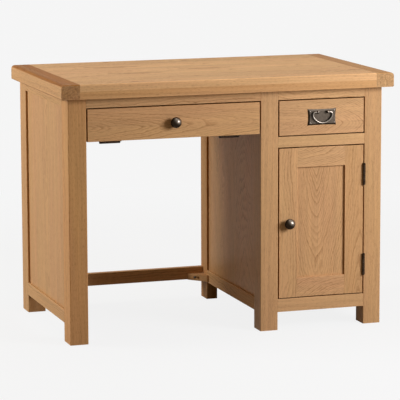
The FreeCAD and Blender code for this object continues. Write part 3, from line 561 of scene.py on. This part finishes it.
def head(radius, rise, sink, cross):
    """Points and faces of one round head, whose seat's middle is the origin and which faces up Z.

    In polar coordinates on the head, the height over the seat is rise times the square root of
    1 - (r / radius)^4, less a cross-shaped recess whose arms lie within a small distance of two
    diameters. The skin then drops as a wall to the sunk end and closes there on the axis.
    """
    circles, turns, base_share = 15, 40, 0.5
    # The cross, as shares of the radius: half its arms' width, their reach, and the slopes there.
    arm, arm_slope, reach, reach_slope = 0.17, 0.08, 0.66, 0.14
    share = np.linspace(0.0, 1.0, circles)[1:, None]
    angle = np.linspace(0.0, 2.0 * math.pi, turns, endpoint=False)[None, :]
    u, v = share * np.cos(angle), share * np.sin(angle)
    near, far = np.minimum(abs(u), abs(v)), np.maximum(abs(u), abs(v))
    recess = np.clip((arm - near) / arm_slope, 0, 1) * np.clip((reach - far) / reach_slope, 0, 1)
    top = rise * np.sqrt(np.clip(1.0 - share ** 4, 0, 1)) - cross * recess
    u = np.vstack([u, u[-1:], u[-1:] * base_share])
    v = np.vstack([v, v[-1:], v[-1:] * base_share])
    w = np.vstack([top, np.full((2, turns), -sink)])
    skin = np.stack([u * radius, v * radius, w], axis=-1).reshape(-1, 3)
    poles = np.array([[0.0, 0.0, rise - cross], [0.0, 0.0, -sink]])

    step = np.arange(turns)
    ahead = (step + 1) % turns
    first, last = len(poles), len(poles) + turns * (len(w) - 1)
    row = np.arange(first, last, turns)[:, None]
    below = row + turns
    quads = np.stack([row + step, below + step, below + ahead, row + ahead], axis=-1)
    crown = np.stack([np.zeros_like(step), first + step, first + ahead], axis=-1)
    base = np.stack([np.ones_like(step), last + ahead, last + step], axis=-1)
    return np.vstack([poles, skin]), (quads.reshape(-1, 4), crown, base)


def heads(name, places, shape, body, material):
    """Round heads of nails or screws as one mesh.

    places holds, for each head, its seat's middle, the way it faces, and the turn of the cross.
    shape holds the radius, rise, sink and cross of a head.
    """
    steep = 0.9
    local, kinds = head(*shape)
    points, faces = [], []
    for index, (seat, outward, turn) in enumerate(places):
        out = np.array(outward, float)
        aside = np.cross(out, (0.0, 0.0, 1.0) if abs(out[2]) < steep else (1.0, 0.0, 0.0))
        across = math.cos(turn) * aside + math.sin(turn) * np.cross(out, aside)
        points.append(local @ np.stack([across, np.cross(out, across), out]) + np.array(seat))
        for kind in kinds:
            faces += (kind + index * len(local)).tolist()
    mesh = bpy.data.meshes.new(name)
    mesh.from_pydata(np.vstack(points).tolist(), [], faces)
    mesh.shade_smooth()
    mesh.update()
    made = bpy.data.objects.new(name, mesh)
    bpy.context.scene.collection.objects.link(made)
    made.data.materials.append(material)
    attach(made, body)


class DeskOak(bpy.types.PropertyGroup):
    """Colours and figure of the oak."""

    pale: bpy.props.FloatVectorProperty(
        name="Late wood", description="Dense pale part of a growth ring, lacquered",
        subtype="COLOR", size=3, min=0.0, max=1.0, default=(0.634, 0.373, 0.176),
    )
    dark: bpy.props.FloatVectorProperty(
        name="Early wood", description="Porous dark part of a growth ring, lacquered",
        subtype="COLOR", size=3, min=0.0, max=1.0, default=(0.370, 0.182, 0.070),
    )
    inner_pale: bpy.props.FloatVectorProperty(
        name="Inner late wood", description="Pale part of a ring on the planed inner boards",
        subtype="COLOR", size=3, min=0.0, max=1.0, default=(0.600, 0.385, 0.205),
    )
    inner_dark: bpy.props.FloatVectorProperty(
        name="Inner early wood", description="Dark part of a ring on the planed inner boards",
        subtype="COLOR", size=3, min=0.0, max=1.0, default=(0.400, 0.225, 0.100),
    )
    pores: bpy.props.FloatVectorProperty(
        name="Pores", description="Stain that stays in the open pores",
        subtype="COLOR", size=3, min=0.0, max=1.0, default=(0.215, 0.098, 0.036),
    )
    # This colour also darkens the faces that are painted as shade in gaps and recesses.
    stain_and_shade: bpy.props.FloatVectorProperty(
        name="Stain", description="What a full stain lets through of the wood's own colour",
        subtype="COLOR", size=3, min=0.0, max=1.0, default=(0.500, 0.335, 0.125),
    )
    # The lipping's paleness is a painted sheen on the front edge.
    lipping: bpy.props.FloatProperty(
        name="Lipping", description="How much paler the lipping on the top's front edge is",
        subtype="FACTOR", min=0.0, max=1.0, default=0.18,
    )
    strip: bpy.props.FloatProperty(
        name="Lower strip", description="How darkly the lower strip of the lipping is stained",
        subtype="FACTOR", min=0.0, max=1.0, default=0.38,
    )
    ring_width: bpy.props.FloatProperty(
        name="Ring width", description="Mean width of a growth ring",
        unit="LENGTH", min=0.001, max=0.02, default=0.0027,
    )
    ring_contrast: bpy.props.FloatProperty(
        name="Ring contrast", description="How far a porous band goes towards the dark colour",
        subtype="FACTOR", min=0.0, max=1.0, default=0.85,
    )
    pore_length: bpy.props.FloatProperty(
        name="Pore length", description="Length of a pore's dash along the grain",
        unit="LENGTH", min=0.001, max=0.05, default=0.013,
    )
    pore_width: bpy.props.FloatProperty(
        name="Pore width", description="Width of a pore's dash across the grain",
        unit="LENGTH", min=0.0001, max=0.005, default=0.0008,
    )
    pore_contrast: bpy.props.FloatProperty(
        name="Pore contrast", description="How far a pore goes towards its stain",
        subtype="FACTOR", min=0.0, max=1.0, default=0.90,
    )
    end_grain: bpy.props.FloatProperty(
        name="End grain", description="How much darker the sawn ends are",
        subtype="FACTOR", min=0.0, max=1.0, default=0.12,
    )
    # Paler arrises: a painted highlight of the rounded edges, also read as wear.
    arris_wear_and_highlight: bpy.props.FloatProperty(
        name="Rubbed arrises", description="How much paler the arrises are",
        subtype="FACTOR", min=0.0, max=1.0, default=0.10,
    )
    roughness: bpy.props.FloatProperty(
        name="Roughness", description="Roughness of the satin lacquer",
        subtype="FACTOR", min=0.0, max=1.0, default=0.62,
    )


class DeskMetal(bpy.types.PropertyGroup):
    """Colours of the metal fittings."""

    pewter_dark: bpy.props.FloatVectorProperty(
        name="Dark pewter", description="Skin of the knobs and the handle",
        subtype="COLOR", size=3, min=0.0, max=1.0, default=(0.022, 0.014, 0.008),
    )
    # Bright colour of the painted highlights on the knobs and the handle, and of their worn patches.
    pewter_rubbed_and_lit: bpy.props.FloatVectorProperty(
        name="Rubbed pewter", description="Bare metal on the crowns of the knobs and the handle",
        subtype="COLOR", size=3, min=0.0, max=1.0, default=(0.262, 0.216, 0.172),
    )
    # Bright colour of the painted highlights on the bail and the nails, and of their worn patches.
    pewter_worn_and_lit: bpy.props.FloatVectorProperty(
        name="Worn pewter", description="Bare metal where the hand wears the bail and the nails",
        subtype="COLOR", size=3, min=0.0, max=1.0, default=(0.290, 0.248, 0.205),
    )
    bronze_dark: bpy.props.FloatVectorProperty(
        name="Dark bronze", description="Skin of the hinges",
        subtype="COLOR", size=3, min=0.0, max=1.0, default=(0.018, 0.011, 0.007),
    )
    bronze_rubbed: bpy.props.FloatVectorProperty(
        name="Rubbed bronze", description="Worn places on the hinges",
        subtype="COLOR", size=3, min=0.0, max=1.0, default=(0.075, 0.048, 0.030),
    )
    zinc_dark: bpy.props.FloatVectorProperty(
        name="Dull zinc", description="Dull patches on the runners and screws",
        subtype="COLOR", size=3, min=0.0, max=1.0, default=(0.330, 0.340, 0.350),
    )
    zinc_bright: bpy.props.FloatVectorProperty(
        name="Bright zinc", description="Bright patches on the runners and screws",
        subtype="COLOR", size=3, min=0.0, max=1.0, default=(0.580, 0.590, 0.600),
    )


class DeskFasteners(bpy.types.PropertyGroup):
    """Sizes of the nails and screws."""

    nail_radius: bpy.props.FloatProperty(
        name="Nail radius", description="Radius of the nails in the handle's plate",
        unit="LENGTH", min=0.0005, max=0.004, default=0.0021,
    )
    nail_rise: bpy.props.FloatProperty(
        name="Nail rise", description="Height of a nail's head over the plate",
        unit="LENGTH", min=0.0002, max=0.003, default=0.0013,
    )
    nail_inset: bpy.props.FloatVectorProperty(
        name="Nail inset",
        description="Distance of a nail from the plate's sides and from its upper and lower edges",
        subtype="XYZ", unit="LENGTH", size=2, min=0.002, max=0.02, default=(0.0075, 0.0074),
    )
    block_screw_radius: bpy.props.FloatProperty(
        name="Block screw radius", description="Radius of the heads in the corner blocks",
        unit="LENGTH", min=0.002, max=0.0045, default=0.0040,
    )
    hinge_screw_radius: bpy.props.FloatProperty(
        name="Hinge screw radius", description="Radius of the heads in the hinge leaves",
        unit="LENGTH", min=0.001, max=0.004, default=0.0029,
    )
    hinge_screw_rise: bpy.props.FloatProperty(
        name="Hinge screw rise", description="Height of a head over its leaf",
        unit="LENGTH", min=0.0001, max=0.0004, default=0.0003,
    )


class DeskStage(bpy.types.PropertyGroup):
    """Camera, lamps and floor."""

    camera_place: bpy.props.FloatVectorProperty(
        name="Camera", description="Where the camera stands",
        subtype="TRANSLATION", unit="LENGTH", size=3, default=(-2.279227, -6.852418, 1.555775),
    )
    camera_turn: bpy.props.FloatVectorProperty(
        name="Camera turn", description="Turn about the upright, tilt and roll of the camera",
        subtype="EULER", unit="ROTATION", size=3, default=(-0.32117, -0.16261, -0.00303),
    )
    focal_length: bpy.props.FloatProperty(
        name="Focal length", description="Focal length for a 36 mm wide picture",
        unit="CAMERA", min=10.0, max=500.0, default=210.354,
    )
    background: bpy.props.FloatProperty(
        name="Background", description="Brightness of the floor and the backdrop as they are seen",
        min=0.0, max=1.0, default=0.915,
    )
    shadow: bpy.props.FloatProperty(
        name="Shadow", description="How much of the light on the floor near the desk is seen",
        subtype="FACTOR", min=0.0, max=1.0, default=0.07,
    )
    sky: bpy.props.FloatVectorProperty(
        name="Sky", description="Even light from all round",
        subtype="COLOR", size=3, min=0.0, max=1.0, default=(0.206, 0.166, 0.110),
    )
    key: bpy.props.FloatProperty(
        name="Key lamp", description="Lamp at the right in front",
        unit="POWER", min=0.0, default=51.0,
    )
    overhead: bpy.props.FloatProperty(
        name="Overhead lamp", description="Broad lamp above the top",
        unit="POWER", min=0.0, default=33.0,
    )
    side: bpy.props.FloatProperty(
        name="Side lamp", description="Lamp at the left behind the desk",
        unit="POWER", min=0.0, default=68.0,
    )


class DESK_OT_oak(bpy.types.Operator):
    """Give every oak board its own cut of oak"""

    bl_idname = "desk.oak"
    bl_label = "Oak boards"

    def execute(self, context):
        look = context.scene.desk_oak
        inner = look.inner_pale, look.inner_dark
        dress(nodes_with("oak"), lambda piece: oak(piece, look, look.pale, look.dark))
        dress(nodes_with("inner_oak"), lambda piece: oak(piece, look, *inner))
        return {"FINISHED"}


class DESK_OT_metal(bpy.types.Operator):
    """Give the handle, knobs, hinges and runners their metals"""

    bl_idname = "desk.metal"
    bl_label = "Metal fittings"

    def execute(self, context):
        look = context.scene.desk_metal
        pewter = metal("pewter", look.pewter_dark, look.pewter_rubbed_and_lit)
        worn_lit = metal("worn_pewter", look.pewter_dark, look.pewter_worn_and_lit)
        bronze = metal("hinge_bronze", look.bronze_dark, look.bronze_rubbed)
        zinc = metal("runner_zinc", look.zinc_dark, look.zinc_bright)
        dress(nodes_with("pewter"), lambda piece: worn_lit if piece == "handle_bail" else pewter)
        dress(nodes_with("hinge_steel"), lambda piece: bronze)
        dress(nodes_with("runner_steel"), lambda piece: zinc)
        return {"FINISHED"}


class DESK_OT_plate_nails(bpy.types.Operator):
    """Nail the handle's plate to the drawer front at its four corners"""

    bl_idname = "desk.plate_nails"
    bl_label = "Plate nails"

    def execute(self, context):
        size = context.scene.desk_fasteners
        sink, no_cross, no_turn = 0.0008, 0.0, 0.0
        low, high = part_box("handle_plate")
        aside, upright = size.nail_inset
        places = [
            ((x, low.y, z), (0, -1, 0), no_turn)
            for x in (low.x + aside, high.x - aside)
            for z in (low.z + upright, high.z - upright)
        ]
        heads("plate_nails", places, (size.nail_radius, size.nail_rise, sink, no_cross),
              "drawer", bpy.data.materials["worn_pewter"])
        return {"FINISHED"}


class DESK_OT_block_screws(bpy.types.Operator):
    """Seat the screws at the bottom of the corner blocks' pockets"""

    bl_idname = "desk.block_screws"
    bl_label = "Corner block screws"

    def execute(self, context):
        size = context.scene.desk_fasteners
        # Where a pocket lies along its side of the block, and how thick the block is below it.
        offset, seat = 0.035, 0.012
        rise, sink, cross = 0.0026, 0.0004, 0.0016
        turn_back, turn_side = 0.4, 0.9
        low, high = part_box("stretcher_blocks")
        level = (low.z + high.z) / 2
        places = []
        for corner, side in ((low.x, 1.0), (high.x, -1.0)):
            back = (corner + side * offset, high.y - seat, level)
            end = (corner + side * seat, high.y - offset, level)
            places += [(back, (0, -1, 0), turn_back * side), (end, (side, 0, 0), turn_side)]
        heads("block_screws", places, (size.block_screw_radius, rise, sink, cross),
              "carcase", bpy.data.materials["runner_zinc"])
        return {"FINISHED"}


class DESK_OT_hinge_screws(bpy.types.Operator):
    """Screw down the leaves of the door's and the drop front's hinges"""

    bl_idname = "desk.hinge_screws"
    bl_label = "Hinge screws"

    def execute(self, context):
        size = context.scene.desk_fasteners
        sink, cross_share = 0.0006, 0.7
        rise = size.hinge_screw_rise
        shape = (size.hinge_screw_radius, rise, sink, cross_share * rise)
        bronze = bpy.data.materials["hinge_bronze"]
        for name, body, places in (*self.door_leaves(), *self.drop_leaves()):
            heads(name, places, shape, body, bronze)
        return {"FINISHED"}

    def door_leaves(self):
        """Name, body and places of the screws in the two leaves of the door's hinges."""
        # Half a hinge's length, half the gap between its leaves, the pitch of the screws, their
        # inset from the leaves' rear edge, and how much further in the middle one is.
        half_length, half_gap, pitch, inset, stagger = 0.0325, 0.00075, 0.021, 0.0085, 0.003
        turn = 0.5
        hinge = next(joint for joint in frame["joints"] if joint["name"] == "door_hinge")
        axis = Vector(hinge["pos_m"])
        low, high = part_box("door_hinge_frame_leaves")
        for name, body, side in (("door_hinge_frame_screws", "carcase", 1.0),
                                 ("door_hinge_door_screws", "door", -1.0)):
            x = axis.x + side * half_gap
            yield name, body, [
                ((x, high.y - inset - stagger * (step == 0), middle + pitch * step),
                 (-side, 0, 0), turn * step + side)
                for middle in (low.z + half_length, high.z - half_length)
                for step in (-1, 0, 1)
            ]

    def drop_leaves(self):
        """Name, body and places of the screws in the two leaves of the drop front's hinges."""
        # Half a hinge's length, its leaves' thickness, the pitch of the screws, and their insets
        # from the rear edge of the one leaf and the front edge of the other.
        half_length, thickness, pitch, tray_inset, front_inset = 0.031, 0.002, 0.020, 0.0095, 0.0068
        turn = 0.7
        low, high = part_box("drop_hinge_tray_leaves")
        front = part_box("drop_hinge_front_leaves")[0].y
        for name, body, y in (("drop_hinge_tray_screws", "keyboard_tray", high.y - tray_inset),
                              ("drop_hinge_front_screws", "drop_front", front + front_inset)):
            yield name, body, [
                ((middle + pitch * step, y, high.z - thickness), (0, 0, -1), turn * step)
                for middle in (low.x + half_length, high.x - half_length)
                for step in (-1, 0, 1)
            ]


def area_lamp(name, place, aim, size, power, colour):
    """Square lamp that looks at a point and isn't seen itself."""
    data = bpy.data.lights.new(name, "AREA")
    data.size = size
    data.energy = power
    data.color = colour
    lamp = bpy.data.objects.new(name, data)
    lamp.location = place
    lamp.rotation_euler = (Vector(aim) - Vector(place)).to_track_quat("-Z", "Y").to_euler()
    lamp.visible_camera = False
    bpy.context.scene.collection.objects.link(lamp)


def seen_directly(start):
    """1 for what the camera, a reflection or a clear pane shows, 0 for light between surfaces."""
    path = start.node("ShaderNodeLightPath", output="Is Camera Ray")
    clear = path.math("MAXIMUM", path.other("Is Glossy Ray"), path.other("Is Transmission Ray"))
    return path.math("MAXIMUM", path, clear)


class DESK_OT_stage(bpy.types.Operator):
    """Lay the floor, hang the lamps and set the camera"""

    bl_idname = "desk.stage"
    bl_label = "Studio"

    def execute(self, context):
        look = context.scene.desk_stage
        self.floor(look)
        self.sky(context.scene, look)
        for name, (place, aim, size, colour) in LAMPS.items():
            area_lamp(name + "_lamp", place, aim, size, getattr(look, name), colour)
        self.camera(context.scene, look)
        context.scene.view_settings.view_transform = "Standard"
        return {"FINISHED"}

    def floor(self, look):
        """Flat floor. Near the desk a share of the light on it is seen, and so is the shadow."""
        # Half the floor's width, how far from the desk its light fades out and is full, in metres,
        # and the dull colour that it lights the desk with.
        edge, far, near = 40.0, 2.6, 0.9
        bounce = (0.19, 0.165, 0.135)
        corners = np.array([[-1, -1, 0], [1, -1, 0], [1, 1, 0], [-1, 1, 0]]) * edge
        mesh = bpy.data.meshes.new("floor")
        mesh.from_pydata(corners.tolist(), [], [(0, 1, 2, 3)])
        floor = bpy.data.objects.new("floor", mesh)
        bpy.context.scene.collection.objects.link(floor)
        material, start = new_material("pale_floor")
        mesh.materials.append(material)
        pale = rgba((look.background,) * 3)
        place = start.node("ShaderNodeTexCoord", output="Object")
        shadowed = smooth(length(place), far, near) * look.shadow
        even = start.node("ShaderNodeEmission", sockets={"Color": pale, "Strength": 1.0})
        lit = start.node("ShaderNodeBsdfDiffuse", sockets={"Color": pale})
        seen = start.node("ShaderNodeMixShader", sockets={0: shadowed, 1: even, 2: lit})
        dull = start.node("ShaderNodeBsdfDiffuse", sockets={"Color": rgba(bounce)})
        sockets = {0: seen_directly(start), 1: dull, 2: seen}
        surface(start, start.node("ShaderNodeMixShader", sockets=sockets))

    def sky(self, scene, look):
        """Even pale surroundings, dimmer as a light than as they are seen."""
        world = bpy.data.worlds.new("pale_surroundings")
        world.use_nodes = True
        world.node_tree.nodes.clear()
        scene.world = world
        start = Signal(world.node_tree)
        shade = blend(seen_directly(start), rgba(look.sky), rgba((look.background,) * 3))
        light = start.node("ShaderNodeBackground", sockets={"Color": shade, "Strength": 1.0})
        start.node("ShaderNodeOutputWorld", sockets={"Surface": light})

    def camera(self, scene, look):
        """Camera at the photograph's view, from its place, turn, tilt and roll."""
        turn, tilt, roll = look.camera_turn
        level = math.cos(tilt)
        ahead = Vector((-math.sin(turn) * level, math.cos(turn) * level, math.sin(tilt)))
        right = Vector((math.cos(turn), math.sin(turn), 0.0))
        up = right.cross(ahead)
        across = math.cos(roll) * right + math.sin(roll) * up
        upright = math.cos(roll) * up - math.sin(roll) * right
        picture_width = 36.0
        data = bpy.data.cameras.new("camera")
        data.sensor_width = picture_width
        data.lens = look.focal_length
        camera = bpy.data.objects.new("camera", data)
        view = Matrix((across, upright, -ahead)).transposed().to_4x4()
        camera.matrix_world = Matrix.Translation(look.camera_place) @ view
        scene.collection.objects.link(camera)
        scene.camera = camera


class DESK_PT_looks(bpy.types.Panel):
    """The desk's finishes, fasteners and studio"""

    bl_idname = "DESK_PT_looks"
    bl_label = "Kneehole desk"
    bl_space_type = "VIEW_3D"
    bl_region_type = "UI"
    bl_category = "Desk"

    def draw(self, context):
        for group, steps in GROUPS.items():
            box = self.layout.box()
            settings = getattr(context.scene, group)
            for name in settings.__annotations__:
                box.prop(settings, name)
            for step in steps:
                box.operator(step.bl_idname)


# The operators that use each group of settings, and the groups.
GROUPS = {
    "desk_oak": (DESK_OT_oak,),
    "desk_metal": (DESK_OT_metal,),
    "desk_fasteners": (DESK_OT_plate_nails, DESK_OT_block_screws, DESK_OT_hinge_screws),
    "desk_stage": (DESK_OT_stage,),
}
SETTINGS = {
    "desk_oak": DeskOak,
    "desk_metal": DeskMetal,
    "desk_fasteners": DeskFasteners,
    "desk_stage": DeskStage,
}
OPERATORS = tuple(step for steps in GROUPS.values() for step in steps)
CLASSES = (*SETTINGS.values(), *OPERATORS, DESK_PT_looks)


def register():
    """Makes the settings, operators and panel known."""
    for kind in CLASSES:
        bpy.utils.register_class(kind)
    for name, kind in SETTINGS.items():
        setattr(bpy.types.Scene, name, bpy.props.PointerProperty(type=kind))


def unregister():
    """Takes them away again."""
    for name in SETTINGS:
        delattr(bpy.types.Scene, name)
    for kind in reversed(CLASSES):
        bpy.utils.unregister_class(kind)


def main():
    """Dresses the desk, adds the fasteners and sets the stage."""
    register()
    bpy.ops.desk.oak()
    bpy.ops.desk.metal()
    bpy.ops.desk.plate_nails()
    bpy.ops.desk.block_screws()
    bpy.ops.desk.hinge_screws()
    bpy.ops.desk.stage()


if __name__ == "__main__":
    main()
